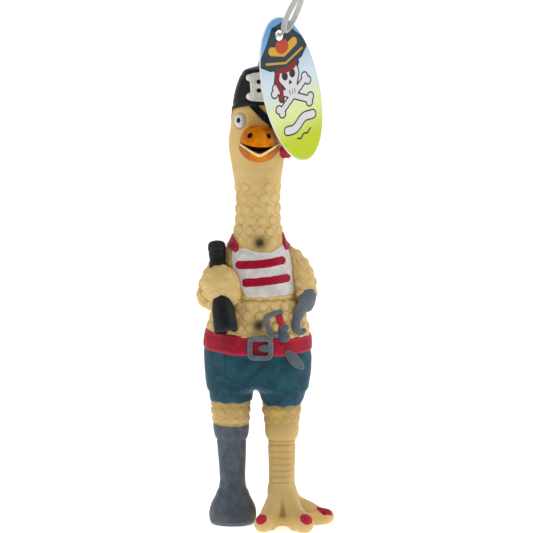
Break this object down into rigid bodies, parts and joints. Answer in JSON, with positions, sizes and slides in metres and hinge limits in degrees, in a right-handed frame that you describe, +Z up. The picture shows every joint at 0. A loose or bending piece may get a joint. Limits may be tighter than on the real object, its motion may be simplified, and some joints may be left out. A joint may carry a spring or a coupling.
{
  "type": "rubber chicken",
  "caption": "Hollow latex squeaky toy chicken in painted pirate dress, with a peg leg and a clawed foot, a reed squeaker in its back and a card tag on a nylon hanging loop.",
  "frame": {"origin": "bottom centre of the whole object's box, on the surface it stands on", "axes": "+Z up; -Y is the toy's front; +X is the toy's left side, the viewer's right"},
  "size_m": [0.0688, 0.0458, 0.2617],
  "materials": {
    "latex_cream": "matte cream natural latex with airbrushed brown shading",
    "paint_teal": "satin dark teal rubber paint",
    "paint_red": "satin crimson rubber paint",
    "paint_grey": "satin blue-grey rubber paint",
    "paint_black": "satin black rubber paint",
    "paint_white": "satin off-white rubber paint",
    "paint_orange": "satin orange rubber paint, shaded darker by airbrush",
    "mouth_brown": "matt dark brown rubber paint",
    "squeaker_plastic": "natural white moulded polyethylene",
    "reed_plastic": "thin plastic film",
    "tag_card": null,
    "loop_nylon": "translucent nylon"
  },
  "bodies": {
    "torso": {"torso_skin": "latex_cream", "neck_skin": "latex_cream", "right_thigh_skin": "latex_cream", "left_thigh_skin": "latex_cream", "shorts": "paint_teal", "belt": "paint_red", "shirt_stripe_upper": "paint_red", "shirt_stripe_lower": "paint_red", "strap_right": "paint_red", "strap_left": "paint_red", "dagger_grip": "paint_red", "buckle_frame": "paint_grey", "buckle_tongue": "paint_grey", "dagger_hilt": "paint_grey", "dagger_blade": "paint_grey", "hook_cup": "paint_grey", "hook": "paint_grey", "spyglass_eyepiece": "paint_black", "spyglass_barrel": "paint_black", "shirt_front": "paint_white", "shirt_back": "paint_white", "spyglass_lens": "mouth_brown", "squeaker_body": "squeaker_plastic", "reed_channel": "squeaker_plastic", "reed_wedge": "squeaker_plastic"},
    "head": {"head_skin": "latex_cream", "pirate_cap": "paint_black", "cap_emblem": "paint_white", "eye_white": "paint_white", "eye_pupil": "paint_black", "eye_patch": "paint_black", "beak_upper": "paint_orange", "beak_lower": "paint_orange", "mouth_lining": "mouth_brown", "scarf_band": "paint_red", "scarf_tail": "paint_red"},
    "right_leg": {"peg_boot": "paint_grey"},
    "left_leg": {"bird_foot": "latex_cream", "toenail_1": "paint_red", "toenail_2": "paint_red", "toenail_3": "paint_red"},
    "loop": {"hang_loop": "loop_nylon"},
    "tag": {"hang_tag": "tag_card"},
    "reed": {"squeaker_reed": "reed_plastic"}
  },
  "joints": [
    {"name": "neck_bend", "type": "hinge", "parent": "torso", "child": "head", "pos_m": [-0.00484, 0.00479, 0.162], "axis": [1, 0, 0], "range_deg": [-35, 35], "stiffness_Nm_per_rad": 0.3, "deforming": ["neck_skin"]},
    {"name": "right_leg_bend", "type": "hinge", "parent": "torso", "child": "right_leg", "pos_m": [-0.01724, 0.00479, 0.056], "axis": [1, 0, 0], "range_deg": [-20, 20], "stiffness_Nm_per_rad": 0.5, "deforming": ["right_thigh_skin"]},
    {"name": "left_leg_bend", "type": "hinge", "parent": "torso", "child": "left_leg", "pos_m": [0.00756, 0.00479, 0.056], "axis": [1, 0, 0], "range_deg": [-20, 20], "stiffness_Nm_per_rad": 0.5, "deforming": ["left_thigh_skin"]},
    {"name": "loop_turn", "type": "hinge", "parent": "head", "child": "loop", "pos_m": [-0.00424, 0.00479, 0.224], "axis": [0, 0, 1], "range_deg": [0, 120]},
    {"name": "tag_swing", "type": "hinge", "parent": "loop", "child": "tag", "pos_m": [0.00527, -0.01458, 0.23995], "axis": [0.6613, -0.7501, 0], "range_deg": [-3, 75]},
    {"name": "reed_flex", "type": "hinge", "parent": "torso", "child": "reed", "pos_m": [-0.00484, 0.011, 0.1044], "axis": [1, 0, 0], "range_deg": [-2.5, 6], "stiffness_Nm_per_rad": 0.0002}
  ]
}
